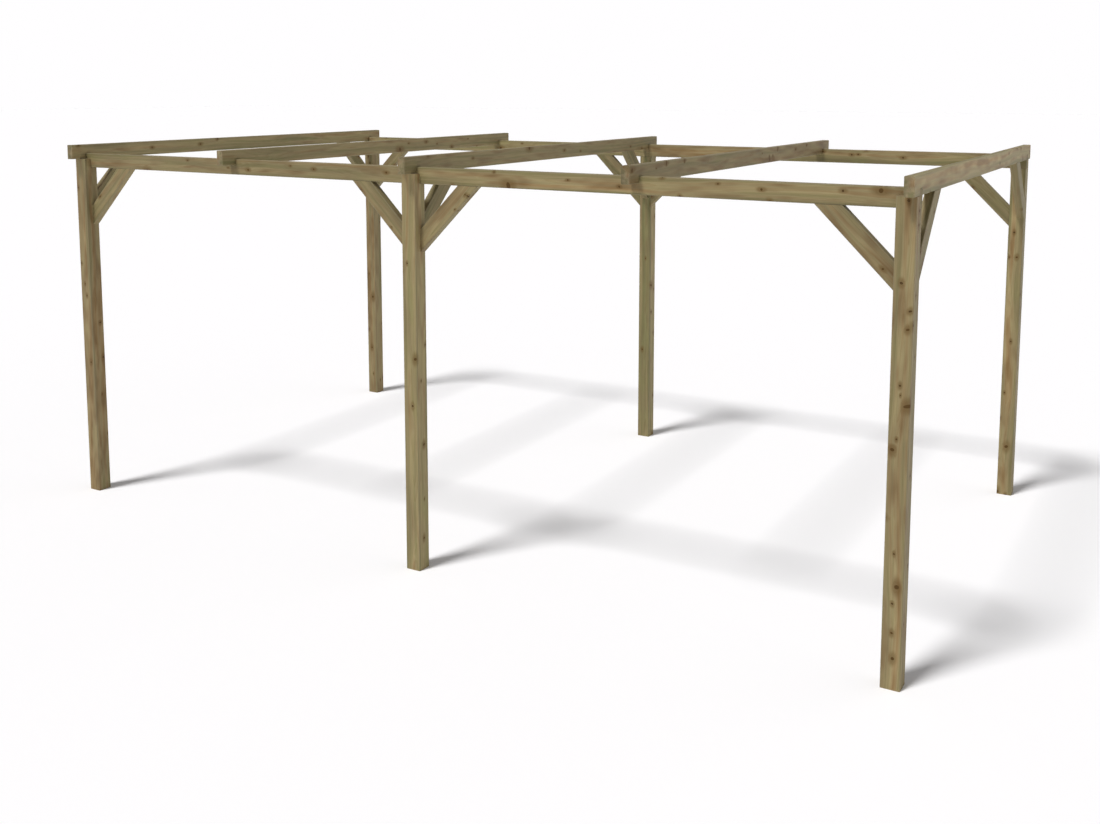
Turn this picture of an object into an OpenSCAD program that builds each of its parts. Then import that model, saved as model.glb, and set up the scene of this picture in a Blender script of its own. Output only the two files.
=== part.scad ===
// Open post-and-beam carport frame: six square posts in two rows, a beam along each row, five
// rafters laid across the beams and a knee brace in every corner. No roof covering.
//
// Millimetres, +Z up. The origin is on the ground at the middle of the post grid.
// X runs along the rows of posts (the way a car drives), Y across, and the front row is at -Y.

/* [Frame] */

// Distance from one post to the next along a row, centre to centre
bay_length = 2620; // [1800:10:3600]

// Distance between the two rows of posts, centre to centre
row_spacing = 2930; // [2200:10:4200]

// Height of the post tops above the ground, which is also the underside of the rafters
post_height = 2200; // [1800:10:3000]

/* [Timber sections] */

// Side of the square posts
post_width = 90; // [70:1:140]

// Thickness of the beams, rafters and braces
timber_thickness = 45; // [30:1:60]

// Depth of the beams and rafters on edge, and the width of the braces
timber_depth = 90; // [70:1:140]

// Rounding of the long edges of the posts
post_rounding = 5; // [2:0.5:10]

// Rounding of the long edges of the beams, rafters and braces
timber_rounding = 4; // [2:0.5:8]

/* [Joints] */

// How deep the rafters are notched down over the beams
rafter_notch = 34; // [15:1:45]

// Clearance on each side of a beam in a notch
notch_clearance = 0.5; // [0.25:0.25:2]

// Gap between the two lengths of a beam over the middle post
beam_butt_gap = 1; // [0.5:0.5:4]

// How far the rafters run out past the outer faces of the posts
rafter_overhang = 57; // [20:1:200]

/* [Knee braces] */

// Length of a brace's lower edge along the post, and along the beam or rafter it meets
brace_leg = 370; // [260:5:600]

/* [Hidden] */

$fn = 48;

half_post = post_width / 2;
half_row = row_spacing / 2;
half_length = bay_length + half_post;

// beams: flush with the inner faces of the posts, in a notch that leaves an outer tongue
beam_top = post_height + rafter_notch;
beam_bottom = beam_top - timber_depth;
beam_inner = half_row - half_post;
beam_outer = beam_inner + timber_thickness;
post_notch_outer = beam_outer + notch_clearance;

// rafters: the end pair flush with the outer faces of the end posts, the rest evenly between
rafter_reach = half_row + half_post + rafter_overhang;
end_rafter_x = half_length - timber_thickness / 2;

// depth to which a cutter runs on past the face it opens
past = 20;

// ---- shapes ----

// outline of a timber, width along X and depth along Y, with its four edges rounded
module timber_outline(width, depth, rounding) {
    square([width - 2 * rounding, depth], center = true);
    square([width, depth - 2 * rounding], center = true);
    for (sx = [-1, 1], sy = [-1, 1])
        translate([sx * (width / 2 - rounding), sy * (depth / 2 - rounding)])
            circle(r = rounding);
}

// upright post standing on the ground at the origin, notched on its +Y side for the beam
module post() {
    difference() {
        linear_extrude(height = post_height)
            timber_outline(post_width, post_width, post_rounding);
        translate([-half_post - past, half_row - post_notch_outer, beam_bottom])
            cube([post_width + 2 * past, post_width, timber_depth + past]);
    }
}

// the post of a row (side -1 front, 1 rear) at place -1, 0 or 1 along it
module row_post(place, side) {
    translate([place * bay_length, side * half_row, 0])
        mirror([0, side > 0 ? 1 : 0, 0])
            post();
}

// one length of beam, from over the middle post out to the end post's outer face
module row_beam(place, side) {
    length = half_length - beam_butt_gap / 2;
    middle_y = (beam_inner + beam_outer) / 2;
    translate([place > 0 ? beam_butt_gap / 2 : -half_length, side * middle_y, beam_bottom])
        translate([0, 0, timber_depth / 2])
            rotate([90, 0, 90])
                linear_extrude(height = length)
                    timber_outline(timber_thickness, timber_depth, timber_rounding);
}

// rafter across both rows, centred at x, notched over the two beams
module rafter(x) {
    translate([x, 0, 0])
        difference() {
            translate([0, rafter_reach, post_height + timber_depth / 2])
                rotate([90, 0, 0])
                    linear_extrude(height = 2 * rafter_reach)
                        timber_outline(timber_thickness, timber_depth, timber_rounding);
            for (side = [-1, 1])
                translate([
                    -timber_thickness / 2 - past,
                    side * (beam_inner + beam_outer) / 2 - timber_thickness / 2 - notch_clearance,
                    post_height - past
                ])
                    cube([
                        timber_thickness + 2 * past,
                        timber_thickness + 2 * notch_clearance,
                        rafter_notch + past
                    ]);
        }
}

// brace in the XZ plane: foot against the plane x = 0, head against z = 0, both below and right
module knee_brace() {
    reach = 2 * brace_leg;
    intersection() {
        translate([brace_leg / 2, 0, -brace_leg / 2])
            rotate([0, 45, 0])
                translate([-timber_depth / 2, 0, -reach / 2])
                    linear_extrude(height = reach)
                        timber_outline(timber_depth, timber_thickness, timber_rounding);
        translate([0, -timber_thickness, -reach])
            cube([reach, 2 * timber_thickness, reach]);
    }
}

// brace along a row, from a post's side towards `way` (-1 left, 1 right), under the beam
module row_brace(place, side, way) {
    translate([
        place * bay_length + way * half_post,
        side * (beam_inner + beam_outer) / 2,
        beam_bottom
    ])
        mirror([way < 0 ? 1 : 0, 0, 0])
            knee_brace();
}

// brace across the frame, from a post's inner face to the underside of the rafter over it
module cross_brace(place, side) {
    translate([place * end_rafter_x, side * beam_inner, post_height])
        mirror([0, side > 0 ? 1 : 0, 0])
            rotate([0, 0, 90])
                knee_brace();
}

// ---- the pieces ----

module front_left_post() { color("#8f8260") row_post(-1, -1); }
module front_middle_post() { color("#8f8260") row_post(0, -1); }
module front_right_post() { color("#8f8260") row_post(1, -1); }
module rear_left_post() { color("#8f8260") row_post(-1, 1); }
module rear_middle_post() { color("#8f8260") row_post(0, 1); }
module rear_right_post() { color("#8f8260") row_post(1, 1); }

module front_left_beam() { color("#988f6e") row_beam(-1, -1); }
module front_right_beam() { color("#988f6e") row_beam(1, -1); }
module rear_left_beam() { color("#988f6e") row_beam(-1, 1); }
module rear_right_beam() { color("#988f6e") row_beam(1, 1); }

module left_end_rafter() { color("#76694b") rafter(-end_rafter_x); }
module left_bay_rafter() { color("#76694b") rafter(-end_rafter_x / 2); }
module middle_rafter() { color("#76694b") rafter(0); }
module right_bay_rafter() { color("#76694b") rafter(end_rafter_x / 2); }
module right_end_rafter() { color("#76694b") rafter(end_rafter_x); }

module front_left_post_brace() { color("#8c7656") row_brace(-1, -1, 1); }
module front_middle_post_left_brace() { color("#8c7656") row_brace(0, -1, -1); }
module front_middle_post_right_brace() { color("#8c7656") row_brace(0, -1, 1); }
module front_right_post_brace() { color("#8c7656") row_brace(1, -1, -1); }
module rear_left_post_brace() { color("#8c7656") row_brace(-1, 1, 1); }
module rear_middle_post_left_brace() { color("#8c7656") row_brace(0, 1, -1); }
module rear_middle_post_right_brace() { color("#8c7656") row_brace(0, 1, 1); }
module rear_right_post_brace() { color("#8c7656") row_brace(1, 1, -1); }

module front_left_cross_brace() { color("#86845a") cross_brace(-1, -1); }
module front_middle_cross_brace() { color("#86845a") cross_brace(0, -1); }
module front_right_cross_brace() { color("#86845a") cross_brace(1, -1); }
module rear_left_cross_brace() { color("#86845a") cross_brace(-1, 1); }
module rear_middle_cross_brace() { color("#86845a") cross_brace(0, 1); }
module rear_right_cross_brace() { color("#86845a") cross_brace(1, 1); }

front_left_post();
front_middle_post();
front_right_post();
rear_left_post();
rear_middle_post();
rear_right_post();
front_left_beam();
front_right_beam();
rear_left_beam();
rear_right_beam();
left_end_rafter();
left_bay_rafter();
middle_rafter();
right_bay_rafter();
right_end_rafter();
front_left_post_brace();
front_middle_post_left_brace();
front_middle_post_right_brace();
front_right_post_brace();
rear_left_post_brace();
rear_middle_post_left_brace();
rear_middle_post_right_brace();
rear_right_post_brace();
front_left_cross_brace();
front_middle_cross_brace();
front_right_cross_brace();
rear_left_cross_brace();
rear_middle_cross_brace();
rear_right_cross_brace();
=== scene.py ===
"""A bare six-post carport frame in planed, pressure-treated softwood: the look of its timbers, and a
plain studio round it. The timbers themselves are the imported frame's own solids."""

import math
import random
from typing import NamedTuple

import bpy
from bpy.props import FloatProperty, FloatVectorProperty, PointerProperty
from bpy.types import Operator, Panel, PropertyGroup
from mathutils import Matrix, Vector


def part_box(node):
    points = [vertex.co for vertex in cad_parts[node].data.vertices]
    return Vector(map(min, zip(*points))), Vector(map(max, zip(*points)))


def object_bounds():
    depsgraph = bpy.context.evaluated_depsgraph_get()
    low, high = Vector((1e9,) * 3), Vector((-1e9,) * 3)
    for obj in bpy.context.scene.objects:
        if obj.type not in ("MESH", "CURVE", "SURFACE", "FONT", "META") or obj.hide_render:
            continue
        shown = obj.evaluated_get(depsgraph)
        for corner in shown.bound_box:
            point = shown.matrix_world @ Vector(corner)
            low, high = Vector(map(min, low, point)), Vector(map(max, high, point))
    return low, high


bl_info = {
    "name": "Carport Frame",
    "version": (1, 0, 0),
    "blender": (4, 5, 0),
    "location": "3D View > Sidebar > Carport",
    "description": "Finishes the timbers of a carport frame and sets a studio round it",
    "category": "Object",
}

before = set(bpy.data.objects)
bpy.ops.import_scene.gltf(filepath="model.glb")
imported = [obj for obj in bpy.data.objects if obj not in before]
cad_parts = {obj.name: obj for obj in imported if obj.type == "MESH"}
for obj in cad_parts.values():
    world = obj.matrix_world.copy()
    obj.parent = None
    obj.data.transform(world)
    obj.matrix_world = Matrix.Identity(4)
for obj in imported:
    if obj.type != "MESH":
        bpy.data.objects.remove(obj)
CAD_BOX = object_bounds()

MM = 1000.0  # millimetres in a metre: every size inside the timber pattern is in millimetres


def linear(hex_colour):
    """Turns an sRGB hex colour, such as "#A0926D", into linear red, green and blue."""
    channels = [int(hex_colour[i : i + 2], 16) / 255 for i in (1, 3, 5)]
    return tuple(c / 12.92 if c <= 0.04045 else ((c + 0.055) / 1.055) ** 2.4 for c in channels)


class CarportTimberSettings(PropertyGroup):
    """The colours and the growth of the timber."""

    green_sapwood: FloatVectorProperty(
        name="Green sapwood",
        description="Outer wood where the preservative took best",
        subtype="COLOR",
        min=0.0,
        max=1.0,
        default=linear("#7B774F"),
    )
    olive_sapwood: FloatVectorProperty(
        name="Olive sapwood",
        description="Outer wood with an ordinary take of preservative",
        subtype="COLOR",
        min=0.0,
        max=1.0,
        default=linear("#847A54"),
    )
    pale_wood: FloatVectorProperty(
        name="Pale wood",
        description="Clean wood between the sapwood and the heart",
        subtype="COLOR",
        min=0.0,
        max=1.0,
        default=linear("#938560"),
    )
    pink_heartwood: FloatVectorProperty(
        name="Pink heartwood",
        description="Heartwood, which takes little preservative",
        subtype="COLOR",
        min=0.0,
        max=1.0,
        default=linear("#8D7854"),
    )
    brown_heartwood: FloatVectorProperty(
        name="Brown heartwood",
        description="Resinous red-brown streaks in the heartwood",
        subtype="COLOR",
        min=0.0,
        max=1.0,
        default=linear("#816842"),
    )
    stain: FloatVectorProperty(
        name="Knot stain",
        description="Resin-brown wood round a knot",
        subtype="COLOR",
        min=0.0,
        max=1.0,
        default=linear("#65491D"),
    )
    sound_knot: FloatVectorProperty(
        name="Sound knot",
        description="A branch that was alive and grew into the wood round it",
        subtype="COLOR",
        min=0.0,
        max=1.0,
        default=linear("#5A4119"),
    )
    dead_knot: FloatVectorProperty(
        name="Dead knot",
        description="A dead branch and the bark ring round it",
        subtype="COLOR",
        min=0.0,
        max=1.0,
        default=linear("#35250C"),
    )
    # Painted highlight: the arrises are paled and greyed to stand in for the light their rounded edges
    # catch, as well as for their wear.
    arris: FloatVectorProperty(
        name="Arris",
        description="The rubbed, slightly greyed rounded edges",
        subtype="COLOR",
        min=0.0,
        max=1.0,
        default=linear("#8F866C"),
    )
    ring_width: FloatProperty(
        name="Ring width",
        description="One year's growth, across the rings",
        unit="LENGTH",
        min=0.001,
        max=0.012,
        default=0.0045,
    )
    whorl_spacing: FloatProperty(
        name="Whorl spacing",
        description="Distance along the trunk between branches of one row",
        unit="LENGTH",
        min=0.1,
        max=1.0,
        default=0.2,
    )
    knot_radius: FloatProperty(
        name="Knot radius",
        description="Radius of an ordinary knot where it meets the face",
        unit="LENGTH",
        min=0.002,
        max=0.02,
        default=0.0048,
    )
    roughness: FloatProperty(
        name="Roughness",
        description="Roughness of the planed face",
        min=0.2,
        max=1.0,
        default=0.6,
    )


class CarportStageSettings(PropertyGroup):
    """The camera, the light and the floor."""

    camera_place: FloatVectorProperty(
        name="Camera place",
        description="Where the camera stands",
        subtype="TRANSLATION",
        unit="LENGTH",
        default=(3.8172, -6.5721, 2.6585),
    )
    camera_turn: FloatProperty(
        name="Camera turn",
        description="Turn to the left of straight ahead",
        subtype="ANGLE",
        default=math.radians(30.15),
    )
    camera_dip: FloatProperty(
        name="Camera dip",
        description="Tilt below the level",
        subtype="ANGLE",
        default=math.radians(6.65),
    )
    lens: FloatProperty(
        name="Lens",
        description="Focal length on a 36 mm sensor, in millimetres",
        min=10.0,
        max=200.0,
        default=38.717,
    )
    rise: FloatProperty(
        name="Lens rise",
        description="Vertical shift of the lens, which keeps the posts close to upright",
        min=-0.5,
        max=0.5,
        default=-0.17,
    )
    key_travel: FloatVectorProperty(
        name="Key light direction",
        description="The way that the key light travels",
        subtype="XYZ",
        default=(0.403, 0.954, -2.1),
    )
    key_strength: FloatProperty(
        name="Key light strength",
        description="With the sky light, a white floor comes out just white",
        min=0.0,
        max=10.0,
        default=2.55,
    )
    key_width: FloatProperty(
        name="Key light width",
        description="Angle across the key light, which sets how soft the shadows are",
        subtype="ANGLE",
        default=math.radians(12),
    )
    fill_strength: FloatProperty(
        name="Fill light strength",
        description="A wide, weak light from the right",
        min=0.0,
        max=10.0,
        default=0.5,
    )
    fill_travel: FloatVectorProperty(
        name="Fill light direction",
        description="The way that the fill light travels",
        subtype="XYZ",
        default=(-1.0, -0.45, -0.3),
    )
    fill_width: FloatProperty(
        name="Fill light width",
        description="Angle across the fill light, wide enough to cast no shadow of its own",
        subtype="ANGLE",
        default=math.radians(80),
    )
    wall_strength: FloatProperty(
        name="Wall light strength",
        description="Even light from all round, at the horizon",
        min=0.0,
        max=2.0,
        default=0.55,
    )
    sky_strength: FloatProperty(
        name="Ceiling light strength",
        description="Even light from above",
        min=0.0,
        max=2.0,
        default=0.06,
    )
    paper_colour: FloatVectorProperty(
        name="Paper colour",
        description="The white paper of the floor and walls, which has a trace of pink",
        subtype="COLOR",
        min=0.0,
        max=1.0,
        default=linear("#FFFEFF"),
    )
    floor_bounce: FloatVectorProperty(
        name="Floor bounce",
        description="How much light the floor gives back to the timber",
        subtype="COLOR",
        min=0.0,
        max=1.0,
        default=linear("#F3F3F3"),
    )


def add_node(tree, kind, settings, sockets):
    """Adds one node with its settings, and fills its inputs with constants or other nodes' outputs. The
    inputs go by name, or in the order in which the node shows them."""
    node = tree.nodes.new(kind)
    for name, value in settings.items():
        setattr(node, name, value)
    shown = [socket for socket in node.inputs if socket.enabled]
    given = sockets.items() if isinstance(sockets, dict) else enumerate(sockets)
    for key, value in given:
        socket = shown[key] if isinstance(key, int) else next(s for s in shown if s.name == key)
        if isinstance(value, bpy.types.Node):
            value = next(output for output in value.outputs if output.enabled)
        if isinstance(value, bpy.types.NodeSocket):
            tree.links.new(value, socket)
        else:
            socket.default_value = value
    return node


VECTOR = "ShaderNodeVectorMath"
MATH = "ShaderNodeMath"
RANGE = "ShaderNodeMapRange"
NOISE = "ShaderNodeTexNoise"
MIX = "ShaderNodeMix"
SPLIT = "ShaderNodeSeparateXYZ"
JOIN = "ShaderNodeCombineXYZ"
SMOOTH = {"interpolation_type": "SMOOTHSTEP"}
COLOUR_MIX = {"data_type": "RGBA"}


def log_place(tree, inputs):
    """Finds where a point lies in the log that its timber was sawn from, in millimetres: its place on
    the timber, its place in the log, its height up the log, and its way out from the pith."""
    place = add_node(tree, VECTOR, {"operation": "SCALE"}, {"Vector": inputs["Place"], "Scale": MM})
    logged = add_node(tree, VECTOR, {"operation": "ADD"}, [place, inputs["Log"]])
    along = add_node(tree, SPLIT, {}, [logged]).outputs["Z"]

    # The pith wanders slowly from side to side, which opens the rings into arches on a flat face.
    wander_length, wander_width = 1100.0, 46.0
    slow = add_node(tree, MATH, {"operation": "MULTIPLY"}, [along, 1 / wander_length])
    wander = add_node(tree, NOISE, {"noise_dimensions": "1D"}, {"W": slow, "Scale": 1.0, "Detail": 1.0})
    wander = wander.outputs["Color"]
    swing = (wander_width, wander_width, 0.0), (-wander_width / 2, -wander_width / 2, 0.0)
    wander = add_node(tree, VECTOR, {"operation": "MULTIPLY_ADD"}, [wander, *swing])
    pith = add_node(tree, VECTOR, {"operation": "ADD"}, [inputs["Pith"], wander])
    out = add_node(tree, VECTOR, {"operation": "SUBTRACT"}, [place, pith])
    out = add_node(tree, VECTOR, {"operation": "MULTIPLY"}, [out, (1.0, 1.0, 0.0)])
    return place, logged, along, out


def branch_row(tree, knots, along, out, row, pitch, thin, thick):
    """One row of branches, each in its own step up the log and at its own bearing. A branch widens from
    the pith over the first years and then stays even. Gives the distance to it as a share of its radius,
    once all round, and once stretched along the grain, the way its stain spreads."""
    # Each row starts at its own height and draws its own chances.
    start, series = 0.37 * row, 517.3 * row
    crowded = add_node(tree, MATH, {"operation": "MULTIPLY"}, [along, knots])
    gap = add_node(tree, MATH, {"operation": "DIVIDE"}, [pitch, knots])
    step = add_node(tree, MATH, {"operation": "MULTIPLY_ADD"}, [crowded, 1 / pitch, start])
    whorl = add_node(tree, MATH, {"operation": "FLOOR"}, [step])
    number = add_node(tree, MATH, {"operation": "ADD"}, [whorl, series])
    chance = add_node(tree, "ShaderNodeTexWhiteNoise", {"noise_dimensions": "1D"}, {"W": number})
    chance = add_node(tree, "ShaderNodeSeparateColor", {}, [chance.outputs["Color"]]).outputs

    # The branch keeps to the middle three fifths of its step, so the next step never cuts it off.
    part = add_node(tree, MATH, {"operation": "SUBTRACT"}, [step, whorl])
    centre = add_node(tree, MATH, {"operation": "MULTIPLY_ADD"}, [chance["Red"], 0.6, 0.2])
    rise = add_node(tree, MATH, {"operation": "SUBTRACT"}, [part, centre])
    bearing = add_node(tree, MATH, {"operation": "MULTIPLY"}, [chance["Green"], math.tau])
    cosine = add_node(tree, MATH, {"operation": "COSINE"}, [bearing])
    sine = add_node(tree, MATH, {"operation": "SINE"}, [bearing])
    heading = add_node(tree, JOIN, {}, [cosine, sine, 0.0])
    reach = add_node(tree, VECTOR, {"operation": "DOT_PRODUCT"}, [out, heading]).outputs["Value"]
    across = add_node(tree, VECTOR, {"operation": "CROSS_PRODUCT"}, [heading, out])
    aside = add_node(tree, SPLIT, {}, [across]).outputs["Z"]
    # A branch climbs by about a quarter of its reach.
    climb = add_node(tree, MATH, {"operation": "MULTIPLY"}, [reach, -0.25])
    height = add_node(tree, MATH, {"operation": "MULTIPLY_ADD"}, [rise, gap, climb])

    # The square makes most branches thin. A branch has its full width 18 mm from the pith.
    size = add_node(tree, MATH, {"operation": "POWER"}, [chance["Blue"], 2.0])
    size = add_node(tree, RANGE, {}, {"Value": size, "To Min": thin, "To Max": thick})
    cone = {"Value": reach, "From Max": 18.0, "To Min": 0.002, "To Max": size}
    cone = add_node(tree, RANGE, {}, cone)
    shares = []
    for squeeze in (1.0, 0.5):
        squeezed = add_node(tree, MATH, {"operation": "MULTIPLY"}, [height, squeeze])
        offset = add_node(tree, JOIN, {}, [aside, squeezed, 0.0])
        offset = add_node(tree, VECTOR, {"operation": "LENGTH"}, [offset])
        shares.append(add_node(tree, MATH, {"operation": "DIVIDE"}, [offset, cone]))
    share, stain = shares
    # The stain is wider than the branch, so it fades out before the step ends.
    from_middle = add_node(tree, MATH, {"operation": "SUBTRACT"}, [part, 0.5])
    from_middle = add_node(tree, MATH, {"operation": "ABSOLUTE"}, [from_middle])
    fade = {"Value": from_middle, "From Min": 0.36, "From Max": 0.49, "To Min": 0.0, "To Max": 3.0}
    fade = add_node(tree, RANGE, SMOOTH, fade)
    return share, add_node(tree, MATH, {"operation": "ADD"}, [stain, fade])


def branches(tree, timber, knots, along, out):
    """All the branches in the log: the nearest dead one, sound one and stain."""
    nearest = {}
    # Each row's kind, its spacing in whorls, and its thinnest and thickest branch in knot radii.
    rows = (
        ("dead", 1.0, 0.8, 1.3),
        ("dead", 1.31, 0.7, 1.2),
        ("sound", 1.87, 1.2, 2.2),
        ("sound", 2.43, 1.1, 2.6),
    )
    for row, (kind, apart, thin, thick) in enumerate(rows):
        pitch = timber.whorl_spacing * MM * apart
        radius = timber.knot_radius * MM
        share, stain = branch_row(tree, knots, along, out, row, pitch, thin * radius, thick * radius)
        for part, value in ((kind, share), ("stain", stain)):
            if part in nearest:
                value = add_node(tree, MATH, {"operation": "MINIMUM"}, [nearest[part], value])
            nearest[part] = value
    return nearest["dead"], nearest["sound"], nearest["stain"]


def growth_rings(tree, timber, logged, out, near):
    """The age of the wood as a distance from the pith, and how much of it is dark summer wood. Rings
    swell outward by up to 5 mm beside a branch, and ripple by up to 6 mm elsewhere."""
    radius = add_node(tree, VECTOR, {"operation": "LENGTH"}, [out])
    swell = {"Value": near, "From Min": 3.4, "From Max": 0.7, "To Min": 0.0, "To Max": 5.0}
    swell = add_node(tree, RANGE, SMOOTH, swell)
    ripple = add_node(tree, VECTOR, {"operation": "MULTIPLY"}, [logged, (1 / 38, 1 / 38, 1 / 330)])
    ripple = add_node(tree, NOISE, {}, {"Vector": ripple, "Scale": 1.0, "Detail": 3.0})
    ripple = add_node(tree, MATH, {"operation": "MULTIPLY_ADD"}, [ripple, 12.0, -6.0])
    grown = add_node(tree, MATH, {"operation": "SUBTRACT"}, [radius, swell])
    grown = add_node(tree, MATH, {"operation": "ADD"}, [grown, ripple])

    # Good and poor years come in runs about 17 mm deep, and shift the count by up to two rings.
    year = add_node(tree, MATH, {"operation": "MULTIPLY"}, [grown, 1 / 17])
    year = add_node(tree, NOISE, {"noise_dimensions": "1D"}, {"W": year, "Scale": 1.0, "Detail": 0.0})
    ring = add_node(tree, MATH, {"operation": "MULTIPLY"}, [grown, 1 / (timber.ring_width * MM)])
    ring = add_node(tree, MATH, {"operation": "MULTIPLY_ADD"}, [year, 2.2, ring])
    # One ring: pale spring wood, then a darker band of summer wood that ends sharply.
    ring = add_node(tree, MATH, {"operation": "FRACT"}, [ring])
    rising = add_node(tree, RANGE, SMOOTH, {"Value": ring, "From Min": 0.35, "From Max": 0.9})
    falling = add_node(tree, RANGE, SMOOTH, {"Value": ring, "From Min": 1.0, "From Max": 0.93})
    return grown, add_node(tree, MATH, {"operation": "MULTIPLY"}, [rising, falling])


def sawn_colour(tree, timber, inputs, logged, out, grown):
    """The colour of a clean face before rings, knots and edges, and its fibre. Sapwood takes the green
    preservative and heartwood hardly does; bands, streaks and blotches shift the colour both ways."""
    # The fibres' own place: across the log it follows the bent rings.
    outward = add_node(tree, VECTOR, {"operation": "NORMALIZE"}, [out])
    flow = add_node(tree, VECTOR, {"operation": "SCALE"}, {"Vector": outward, "Scale": grown})
    upright = add_node(tree, VECTOR, {"operation": "MULTIPLY"}, [logged, (0.0, 0.0, 1.0)])
    flow = add_node(tree, VECTOR, {"operation": "ADD"}, [flow, upright])
    shift = add_node(tree, VECTOR, {"operation": "MULTIPLY"}, [inputs["Log"], (1.0, 1.0, 0.0)])
    flow = add_node(tree, VECTOR, {"operation": "ADD"}, [flow, shift])

    # Pink heartwood fills the middle of the log and gives way to sapwood by 80 mm from the pith.
    heart = {"Value": grown, "From Min": 80.0, "From Max": 16.0, "To Min": -0.1, "To Max": 0.14}
    heart = add_node(tree, RANGE, SMOOTH, heart)
    hue = add_node(tree, MATH, {"operation": "ADD"}, [heart, inputs["Tint"]])
    # The preservative darkens the sapwood, so the middle of a face is paler than its edges.
    paler = {"Value": grown, "From Min": 66.0, "From Max": 30.0, "To Min": 0.89, "To Max": 1.09}
    paler = add_node(tree, RANGE, SMOOTH, paler)
    light = add_node(tree, MATH, {"operation": "MULTIPLY"}, [inputs["Tone"], paler])
    # Each pattern's size across and along the grain in millimetres, how fine its detail is, its pull on
    # the hue, and its light where it is low and where it is high.
    patterns = (
        (26.0, 2200.0, 1.0, 1.2, 0.92, 1.08),  # bands of sapwood and heartwood
        (8.0, 500.0, 2.0, 0.3, 0.97, 1.03),  # streaks inside them
        (36.0, 170.0, 1.0, 0.8, 1.13, 0.87),  # blotches, where the preservative took unevenly
        (1.8, 90.0, 3.0, 0.0, 0.94, 1.06),  # fibre, drawn three times as coarse as it grows, to show
    )
    for across, lengthways, detail, pull, low, high in patterns:
        scale = (1 / across, 1 / across, 1 / lengthways)
        pattern = add_node(tree, VECTOR, {"operation": "MULTIPLY"}, [flow, scale])
        pattern = {"Vector": pattern, "Scale": 1.0, "Detail": detail, "Roughness": 0.45}
        pattern = add_node(tree, NOISE, {}, pattern)
        pulled = add_node(tree, MATH, {"operation": "MULTIPLY_ADD"}, [pattern, pull, -0.5 * pull])
        hue = add_node(tree, MATH, {"operation": "ADD"}, [hue, pulled])
        factor = {"Value": pattern, "From Min": 0.3, "From Max": 0.7, "To Min": low, "To Max": high}
        factor = add_node(tree, RANGE, {"clamp": False}, factor)
        light = add_node(tree, MATH, {"operation": "MULTIPLY"}, [light, factor])
    hue = add_node(tree, MATH, {"operation": "ADD"}, [hue, 0.5])

    ramp = add_node(tree, "ShaderNodeValToRGB", {}, [hue])
    stops = ramp.color_ramp.elements
    colours = (
        (0.0, timber.green_sapwood),
        (0.3, timber.olive_sapwood),
        (0.55, timber.pale_wood),
        (0.78, timber.pink_heartwood),
        (1.0, timber.brown_heartwood),
    )
    while len(stops) < len(colours):
        stops.new(0.5)
    for stop, (position, colour) in zip(stops, colours):
        stop.position = position
        stop.color = (*colour, 1.0)
    wood = {"Vector": ramp.outputs["Color"], "Scale": light}
    return add_node(tree, VECTOR, {"operation": "SCALE"}, wood), pattern


def cut_edges(tree, half_size, place):
    """How far a point belongs to a sawn end, and to the arris band that fades out in about 6 mm, where
    wear and a painted highlight go.
    """
    half = add_node(tree, SPLIT, {}, [half_size]).outputs
    here = add_node(tree, VECTOR, {"operation": "ABSOLUTE"}, [place])
    here = add_node(tree, SPLIT, {}, [here]).outputs
    to_end = add_node(tree, MATH, {"operation": "SUBTRACT"}, [half["Z"], here["Z"]])
    cut_end = add_node(tree, RANGE, {}, {"Value": to_end, "From Min": 1.2, "From Max": 0.2})
    # The arris band fades in over about 6 mm. The paler grey of wear and painted highlight goes there.
    corner = [add_node(tree, MATH, {"operation": "SUBTRACT"}, [here[s], half[s]]) for s in "XY"]
    corner = add_node(tree, MATH, {"operation": "MINIMUM"}, corner)
    wear_and_highlight = {"Value": corner, "From Min": -6.5, "From Max": -1.0, "To Min": 0.0, "To Max": 0.4}
    return cut_end, add_node(tree, RANGE, SMOOTH, wear_and_highlight)


def with_knots(tree, timber, wood, dead, sound, stain):
    """Lays the knots into the wood: their resin-brown stain, then the sound ones with rings of their
    own, and the dead ones with a dark bark ring. Gives the colour, and how far a point is in a knot."""
    stained = {"Value": stain, "From Min": 3.2, "From Max": 0.9, "To Min": 0.0, "To Max": 0.6}
    stained = add_node(tree, RANGE, SMOOTH, stained)
    wood = add_node(tree, MIX, COLOUR_MIX, [stained, wood, (*timber.stain, 1.0)])

    brown, bark = (*timber.sound_knot, 1.0), (*timber.dead_knot, 1.0)
    # A sound knot's own rings lie a third of its radius apart.
    half_ring = 0.17
    rings = add_node(tree, MATH, {"operation": "PINGPONG"}, [sound, half_ring])
    rings = add_node(tree, RANGE, {}, {"Value": rings, "From Max": half_ring, "To Max": 0.35})
    edge = add_node(tree, RANGE, SMOOTH, {"Value": dead, "From Min": 0.2, "From Max": 0.9})
    inside = []
    for near, dark in ((sound, rings), (dead, edge)):
        knot = add_node(tree, MIX, COLOUR_MIX, [dark, brown, bark])
        inside.append(add_node(tree, RANGE, SMOOTH, {"Value": near, "From Min": 1.1, "From Max": 0.8}))
        wood = add_node(tree, MIX, COLOUR_MIX, [inside[-1], wood, knot])
    return wood, add_node(tree, MATH, {"operation": "MAXIMUM"}, inside)


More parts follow.
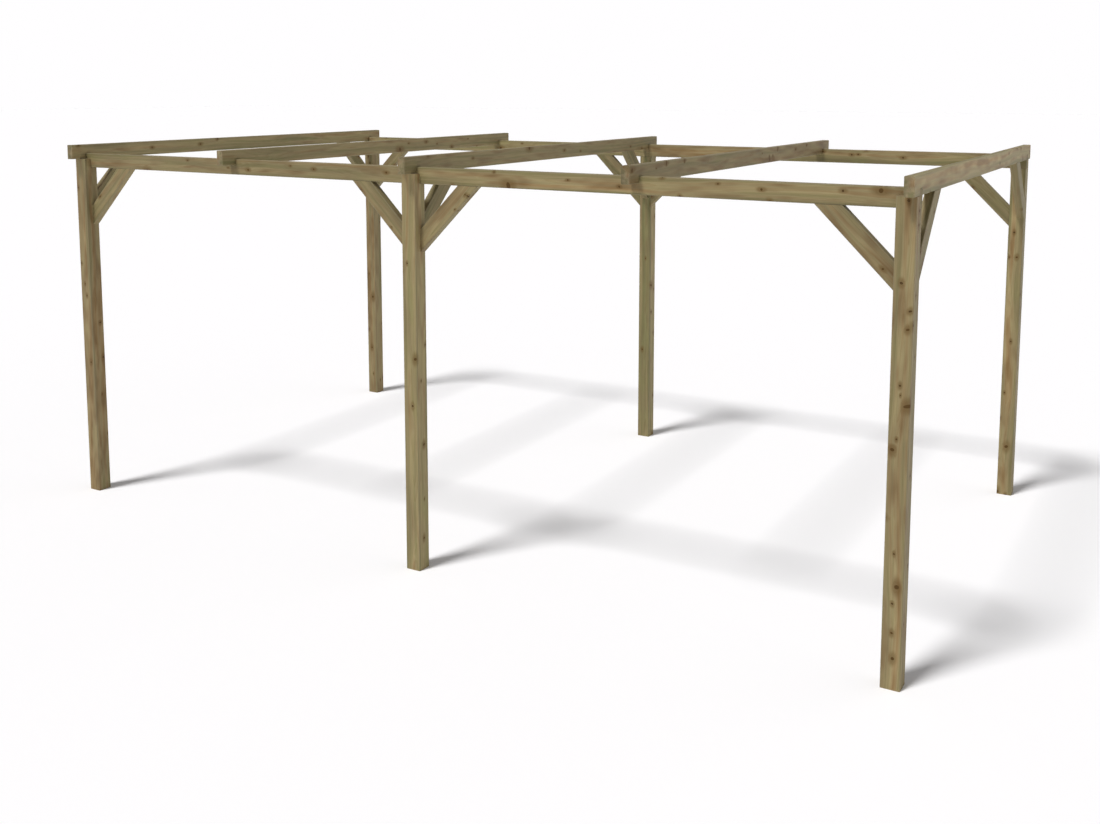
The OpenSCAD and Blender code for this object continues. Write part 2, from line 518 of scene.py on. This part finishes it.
def softwood_figure(timber):
    """Makes the node group for the figure of sawn softwood: growth rings round a pith, branches that run
    out from it as knots, fibre, streaks of sapwood and heartwood, end grain, and paler, greyer arrises
    that are partly wear and partly a painted highlight. It works on the log that a timber was cut from,
    so the figure runs round every edge and shows as rings on the ends."""
    name = "treated softwood figure"
    if name in bpy.data.node_groups:
        return bpy.data.node_groups[name]
    tree = bpy.data.node_groups.new(name, "ShaderNodeTree")
    sockets = (
        ("INPUT", "Vector", ("Place", "Pith", "Log", "Half Size")),
        ("INPUT", "Float", ("Tint", "Tone", "Knots")),
        ("OUTPUT", "Color", ("Color",)),
        ("OUTPUT", "Float", ("Roughness", "Height")),
    )
    for way, kind, labels in sockets:
        for label in labels:
            tree.interface.new_socket(name=label, in_out=way, socket_type="NodeSocket" + kind)
    inputs = add_node(tree, "NodeGroupInput", {}, {}).outputs

    place, logged, along, out = log_place(tree, inputs)
    dead, sound, stain = branches(tree, timber, inputs["Knots"], along, out)
    near = add_node(tree, MATH, {"operation": "MINIMUM"}, [dead, sound])
    grown, summer = growth_rings(tree, timber, logged, out, near)
    wood, fibre = sawn_colour(tree, timber, inputs, logged, out, grown)
    cut_end, wear_and_highlight = cut_edges(tree, inputs["Half Size"], place)

    # Summer wood is darker, most of all on the cut ends, which have weathered a little greyer.
    dark_rings = add_node(tree, RANGE, {}, {"Value": cut_end, "To Min": 0.42, "To Max": 0.75})
    dark_rings = add_node(tree, MATH, {"operation": "MULTIPLY"}, [summer, dark_rings])
    ringed = add_node(tree, VECTOR, {"operation": "MULTIPLY"}, [wood, (0.78, 0.71, 0.60)])
    wood = add_node(tree, MIX, COLOUR_MIX, [dark_rings, wood, ringed])
    greyed = add_node(tree, VECTOR, {"operation": "MULTIPLY"}, [wood, (0.98, 1.0, 1.16)])
    wood = add_node(tree, MIX, COLOUR_MIX, [cut_end, wood, greyed])
    # Painted highlight and wear: the arrises are mixed towards a paler grey.
    wood = add_node(tree, MIX, COLOUR_MIX, [wear_and_highlight, wood, (*timber.arris, 1.0)])
    wood, knot = with_knots(tree, timber, wood, dead, sound, stain)

    # Planed softwood is matt; summer wood is a little smoother, knots and cut ends are rougher.
    rough = {"Value": fibre, "To Min": timber.roughness - 0.1, "To Max": timber.roughness + 0.1}
    rough = add_node(tree, RANGE, {}, rough)
    for part, change in ((summer, -0.07), (knot, 0.1), (cut_end, 0.18)):
        rough = add_node(tree, MATH, {"operation": "MULTIPLY_ADD"}, [part, change, rough])

    # Relief, as how far each part stands proud in millimetres.
    relief = 0.0
    for part, proud in ((summer, 0.2), (fibre, 0.4), (knot, 0.3)):
        relief = add_node(tree, MATH, {"operation": "MULTIPLY_ADD"}, [part, proud, relief])
    add_node(tree, "NodeGroupOutput", {}, {"Color": wood, "Roughness": rough, "Height": relief})
    return tree


class Wood(NamedTuple):
    """How the wood of one timber differs from the others in the stack."""

    tint: float = 0.0  # leans to pink heartwood above 0, and to green sapwood below it
    tone: float = 1.0  # how light it is
    knots: float = 1.0  # how many knots it has
    tree: int = 0  # which tree it is sawn from
    pith: tuple = None  # the heart's place from the timber's centre line, in millimetres


class Lie(NamedTuple):
    """How a timber lies: its middle, the turn that carries Z to its long way, and half its size."""

    centre: Vector
    turn: tuple
    half_size: Vector


def treated_softwood(name, timber, wood, lie):
    """Planed redwood or spruce, pressure treated with a green copper preservative and weathered dry. To
    the eye that is a matt olive to beige face with pinkish heartwood, brown knots in a resin-brown
    stain, and soft greyish arrises. Wood's IOR is about 1.5, and its open pores halve a planed face's
    gloss."""
    chance = random.Random(f"{name} {wood.tree}")
    log = (chance.uniform(-4000, 4000), chance.uniform(-4000, 4000), chance.uniform(5000, 60000))
    material = bpy.data.materials.new(name.replace("_", " ") + " treated softwood")
    material.use_nodes = True
    tree = material.node_tree
    tree.nodes.clear()
    own = add_node(tree, "ShaderNodeTexCoord", {}, {}).outputs["Object"]
    place = {"Vector": own, "Location": lie.centre, "Rotation": lie.turn}
    place = add_node(tree, "ShaderNodeMapping", {"vector_type": "TEXTURE"}, place)
    figure = {
        "Place": place,
        "Pith": (*wood.pith, 0.0),
        "Log": log,
        "Half Size": [side * MM for side in lie.half_size],
        "Tint": wood.tint,
        "Tone": wood.tone,
        "Knots": wood.knots,
    }
    figure = add_node(tree, "ShaderNodeGroup", {"node_tree": softwood_figure(timber)}, figure).outputs
    # The relief comes in millimetres, and wear has softened it a little.
    bump = {"Height": figure["Height"], "Strength": 0.7, "Distance": 1 / MM}
    planed = {
        "Base Color": figure["Color"],
        "Roughness": figure["Roughness"],
        "Normal": add_node(tree, "ShaderNodeBump", {}, bump),
        "IOR": 1.5,
        "Specular IOR Level": 0.25,
    }
    shader = add_node(tree, "ShaderNodeBsdfPrincipled", {}, planed)
    add_node(tree, "ShaderNodeOutputMaterial", {}, {"Surface": shader})
    return material


def lie_of(name, turn=(0.0, 0.0, 0.0)):
    """A square-cut timber's lie, from its box."""
    low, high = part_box(name)
    # The half size is the timber's own, whose Z is its length, so a turn swaps two sides of the box.
    size = (high - low) / 2
    if turn[0]:
        size = Vector((size.x, size.z, size.y))
    elif turn[1]:
        size = Vector((size.z, size.y, size.x))
    return Lie((low + high) / 2, turn, size)


def finish_timber(name, timber, wood, lie):
    """Gives one of the frame's timbers its wood, a little different in tint and tone from the others."""
    chance = random.Random(name + " pith")
    pith = wood.pith
    if pith is None:
        # A board is sawn beside the heart, with its wide faces along the rings.
        beside = chance.choice((-1, 1)) * chance.uniform(30.0, 60.0)
        offset = chance.uniform(-18.0, 18.0)
        pith = (beside, offset) if lie.half_size.x < lie.half_size.y else (offset, beside)
    tint = wood.tint + chance.uniform(-0.05, 0.05)
    tone = wood.tone * chance.uniform(0.97, 1.03)
    wood = wood._replace(pith=pith, tint=tint, tone=tone)
    material = treated_softwood(name, timber, wood, lie)
    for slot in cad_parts[name].material_slots:
        slot.material = material


class CARPORT_OT_stage(Operator):
    """Sets the camera, the lights, the sky and the pale floor"""

    bl_idname = "carport.stage"
    bl_label = "Set the studio"

    floor_reach = 120.0  # metres from the middle to each side of the floor, far enough to meet the sky
    sight = 400.0  # metres that the camera sees, past the floor's furthest corner

    def execute(self, context):
        stage = context.scene.carport_stage
        scene = context.scene
        scene.view_settings.view_transform = "Standard"

        lens = bpy.data.cameras.new("studio camera")
        lens.sensor_width = 36.0
        lens.lens = stage.lens
        lens.shift_y = stage.rise
        lens.clip_end = self.sight
        camera = bpy.data.objects.new("studio camera", lens)
        camera.location = stage.camera_place
        camera.rotation_euler = (math.pi / 2 - stage.camera_dip, 0.0, stage.camera_turn)
        scene.collection.objects.link(camera)
        scene.camera = camera

        lights = (
            ("key light", stage.key_travel, stage.key_strength, stage.key_width),
            ("fill light", stage.fill_travel, stage.fill_strength, stage.fill_width),
        )
        for name, travel, strength, width in lights:
            light = bpy.data.lights.new(name, "SUN")
            light.energy = strength
            light.angle = width
            lamp = bpy.data.objects.new(name, light)
            lamp.rotation_mode = "QUATERNION"
            lamp.rotation_quaternion = Vector(travel).to_track_quat("-Z", "Y")
            scene.collection.objects.link(lamp)

        world = bpy.data.worlds.new("studio sky")
        world.use_nodes = True
        tree = world.node_tree
        tree.nodes.clear()
        way = add_node(tree, "ShaderNodeTexCoord", {}, {}).outputs["Generated"]
        upward = add_node(tree, SPLIT, {}, [way]).outputs["Z"]
        # The sky stands for the studio's white walls and dim ceiling: upright faces are well lit, shadows
        # on the floor stay deep, and little sheen lies on the tops of the timbers.
        lit = {"Value": upward, "To Min": stage.wall_strength, "To Max": stage.sky_strength}
        lit = add_node(tree, RANGE, {}, lit)
        # Seen as a background, the wall is plain white up to 12 degrees above the floor, then dims.
        wall_top, ceiling = math.sin(math.radians(12)), math.sin(math.radians(27))
        view = {"Value": upward, "From Min": wall_top, "From Max": ceiling, "To Min": 1.0}
        view = add_node(tree, RANGE, {}, {**view, "To Max": stage.sky_strength})
        strength = add_node(tree, RANGE, {}, {"Value": self.seen(tree), "To Min": lit, "To Max": view})
        sky = {"Color": (*stage.paper_colour, 1.0), "Strength": strength}
        sky = add_node(tree, "ShaderNodeBackground", {}, sky)
        add_node(tree, "ShaderNodeOutputWorld", {}, {"Surface": sky})
        scene.world = world

        mesh = bpy.data.meshes.new("studio floor")
        far = self.floor_reach
        low = CAD_BOX[0].z
        corners = [(-far, -far, low), (far, -far, low), (far, far, low), (-far, far, low)]
        mesh.from_pydata(corners, [], [(0, 1, 2, 3)])
        floor = bpy.data.objects.new("studio floor", mesh)
        scene.collection.objects.link(floor)
        # The floor is matt white studio paper off a roll: no gloss, and clean white where it is lit.
        paper = bpy.data.materials.new("matt white studio paper")
        paper.use_nodes = True
        tree = paper.node_tree
        tree.nodes.clear()
        colours = (*stage.floor_bounce, 1.0), (*stage.paper_colour, 1.0)
        colour = add_node(tree, MIX, COLOUR_MIX, [self.seen(tree), *colours])
        shader = add_node(tree, "ShaderNodeBsdfDiffuse", {}, {"Color": colour})
        add_node(tree, "ShaderNodeOutputMaterial", {}, {"Surface": shader})
        mesh.materials.append(paper)
        return {"FINISHED"}

    def seen(self, tree):
        """1 where a ray comes from the camera, a reflection or clear material, and 0 where it lights."""
        rays = add_node(tree, "ShaderNodeLightPath", {}, {}).outputs
        seen = rays["Is Camera Ray"]
        for kind in ("Is Glossy Ray", "Is Transmission Ray"):
            seen = add_node(tree, MATH, {"operation": "MAXIMUM"}, [seen, rays[kind]])
        return seen


class CARPORT_OT_posts(Operator):
    """Finishes the six posts, sawn with the heart of the log inside them"""

    bl_idname = "carport.posts"
    bl_label = "Finish the posts"

    def execute(self, context):
        timber = context.scene.carport_timber
        woods = {
            "front_left_post": Wood(tint=0.21, tone=0.97, tree=1, pith=(-6.0, -12.0)),
            "front_middle_post": Wood(tint=-0.1, tone=1.16, knots=0.55, tree=10, pith=(12.0, -9.0)),
            "front_right_post": Wood(tint=0.06, tone=0.97, knots=1.35, tree=8, pith=(4.0, -22.0)),
            "rear_left_post": Wood(tint=0.12, tone=0.99, pith=(-8.0, 16.0)),
            "rear_middle_post": Wood(tint=-0.18, tone=1.1, knots=0.8, tree=7, pith=(16.0, 10.0)),
            "rear_right_post": Wood(tint=0.04, tone=1.06, knots=1.1, tree=5, pith=(-14.0, -6.0)),
        }
        for name, wood in woods.items():
            finish_timber(name, timber, wood, lie_of(name))
        return {"FINISHED"}


class CARPORT_OT_beams(Operator):
    """Finishes the four beams, which run along the two rows of posts"""

    bl_idname = "carport.beams"
    bl_label = "Finish the beams"

    def execute(self, context):
        timber = context.scene.carport_timber
        turn = (0.0, math.pi / 2, 0.0)
        woods = {
            "front_left_beam": Wood(tint=0.13, tone=1.02, tree=7),
            "front_right_beam": Wood(tone=0.97, tree=1),
            "rear_left_beam": Wood(tint=0.04, tone=1.13),
            "rear_right_beam": Wood(tint=0.06, tone=0.93),
        }
        for name, wood in woods.items():
            finish_timber(name, timber, wood, lie_of(name, turn))
        return {"FINISHED"}


class CARPORT_OT_rafters(Operator):
    """Finishes the five rafters, which lie across the beams"""

    bl_idname = "carport.rafters"
    bl_label = "Finish the rafters"

    def execute(self, context):
        timber = context.scene.carport_timber
        turn = (-math.pi / 2, 0.0, 0.0)
        woods = {
            "left_end_rafter": Wood(tint=-0.04, tone=0.94, knots=0.7, tree=5),
            "left_bay_rafter": Wood(tint=0.1, tone=1.05, knots=0.9),
            "middle_rafter": Wood(tint=0.14, tone=0.98, knots=0.8, tree=3),
            "right_bay_rafter": Wood(tone=0.81, knots=0.5),
            # The right end rafter is lighter all over. This is partly a paler board and partly painted
            # light standing in for the sheen on its right side.
            "right_end_rafter": Wood(tint=-0.04, tone=1.14, knots=0.45, tree=2),
        }
        for name, wood in woods.items():
            finish_timber(name, timber, wood, lie_of(name, turn))
        return {"FINISHED"}


class CARPORT_OT_braces(Operator):
    """Finishes the braces: those under the beams lean along the rows, the others across them"""

    bl_idname = "carport.braces"
    bl_label = "Finish the braces"

    # The way that each kind leans as it goes up: left or right along its row, or in between the rows.
    leans = {
        "left_post_brace": "right",
        "middle_post_left_brace": "left",
        "middle_post_right_brace": "right",
        "right_post_brace": "left",
        "left_cross_brace": "in",
        "middle_cross_brace": "in",
        "right_cross_brace": "in",
    }

    # The front row's braces come from paler and darker boards, and the rest from boards that are alike.
    tones = {
        "front_left_post_brace": 1.1,
        "front_middle_post_left_brace": 0.87,
        "front_middle_post_right_brace": 0.92,
        "front_right_post_brace": 0.79,
    }

    def execute(self, context):
        timber = context.scene.carport_timber
        for row in ("front", "rear"):
            for kind, lean in self.leans.items():
                name = f"{row}_{kind}"
                wood = Wood(tint=0.03, tone=self.tones.get(name, 0.93))
                finish_timber(name, timber, wood, self.lie_of_brace(name, row, lean))
        return {"FINISHED"}

    def lie_of_brace(self, name, row, lean):
        """A brace's lie, at 45 degrees to its post."""
        # All the boards are of one stock, and the middle rafter's box shows how thick and deep it is.
        low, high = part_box("middle_rafter")
        thick, depth = high.x - low.x, high.z - low.z
        low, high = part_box(name)
        rise = high.z - low.z
        # A brace's middle line runs nearer to the corner of post and beam than the middle of its box is.
        down = (rise - depth / math.sqrt(2)) / 2
        centre = (low + high) / 2
        centre.z = high.z - down
        if lean == "in":
            way = 1 if row == "front" else -1
            centre.y = (low.y if way > 0 else high.y) + way * down
            return Lie(centre, (-way * math.pi / 4, 0.0, 0.0), Vector((thick / 2, depth / 2, rise)))
        way = 1 if lean == "right" else -1
        centre.x = (low.x if way > 0 else high.x) + way * down
        return Lie(centre, (0.0, way * math.pi / 4, 0.0), Vector((depth / 2, thick / 2, rise)))


class CARPORT_PT_panel(Panel):
    """The carport's own tab in the sidebar"""

    bl_idname = "CARPORT_PT_panel"
    bl_label = "Carport"
    bl_space_type = "VIEW_3D"
    bl_region_type = "UI"
    bl_category = "Carport"

    def draw(self, context):
        layout = self.layout
        for settings in (context.scene.carport_stage, context.scene.carport_timber):
            column = layout.column(align=True)
            for name in settings.__annotations__:
                column.prop(settings, name)
        for operator in OPERATORS:
            layout.operator(operator.bl_idname)


OPERATORS = (CARPORT_OT_stage, CARPORT_OT_posts, CARPORT_OT_beams, CARPORT_OT_rafters, CARPORT_OT_braces)
CLASSES = (CarportTimberSettings, CarportStageSettings, *OPERATORS, CARPORT_PT_panel)


def register():
    for cls in CLASSES:
        bpy.utils.register_class(cls)
    bpy.types.Scene.carport_timber = PointerProperty(type=CarportTimberSettings)
    bpy.types.Scene.carport_stage = PointerProperty(type=CarportStageSettings)


def unregister():
    del bpy.types.Scene.carport_stage
    del bpy.types.Scene.carport_timber
    for cls in reversed(CLASSES):
        bpy.utils.unregister_class(cls)


def main():
    """Registers the add-on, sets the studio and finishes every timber."""
    register()
    bpy.ops.carport.stage()
    bpy.ops.carport.posts()
    bpy.ops.carport.beams()
    bpy.ops.carport.rafters()
    bpy.ops.carport.braces()


if __name__ == "__main__":
    main()
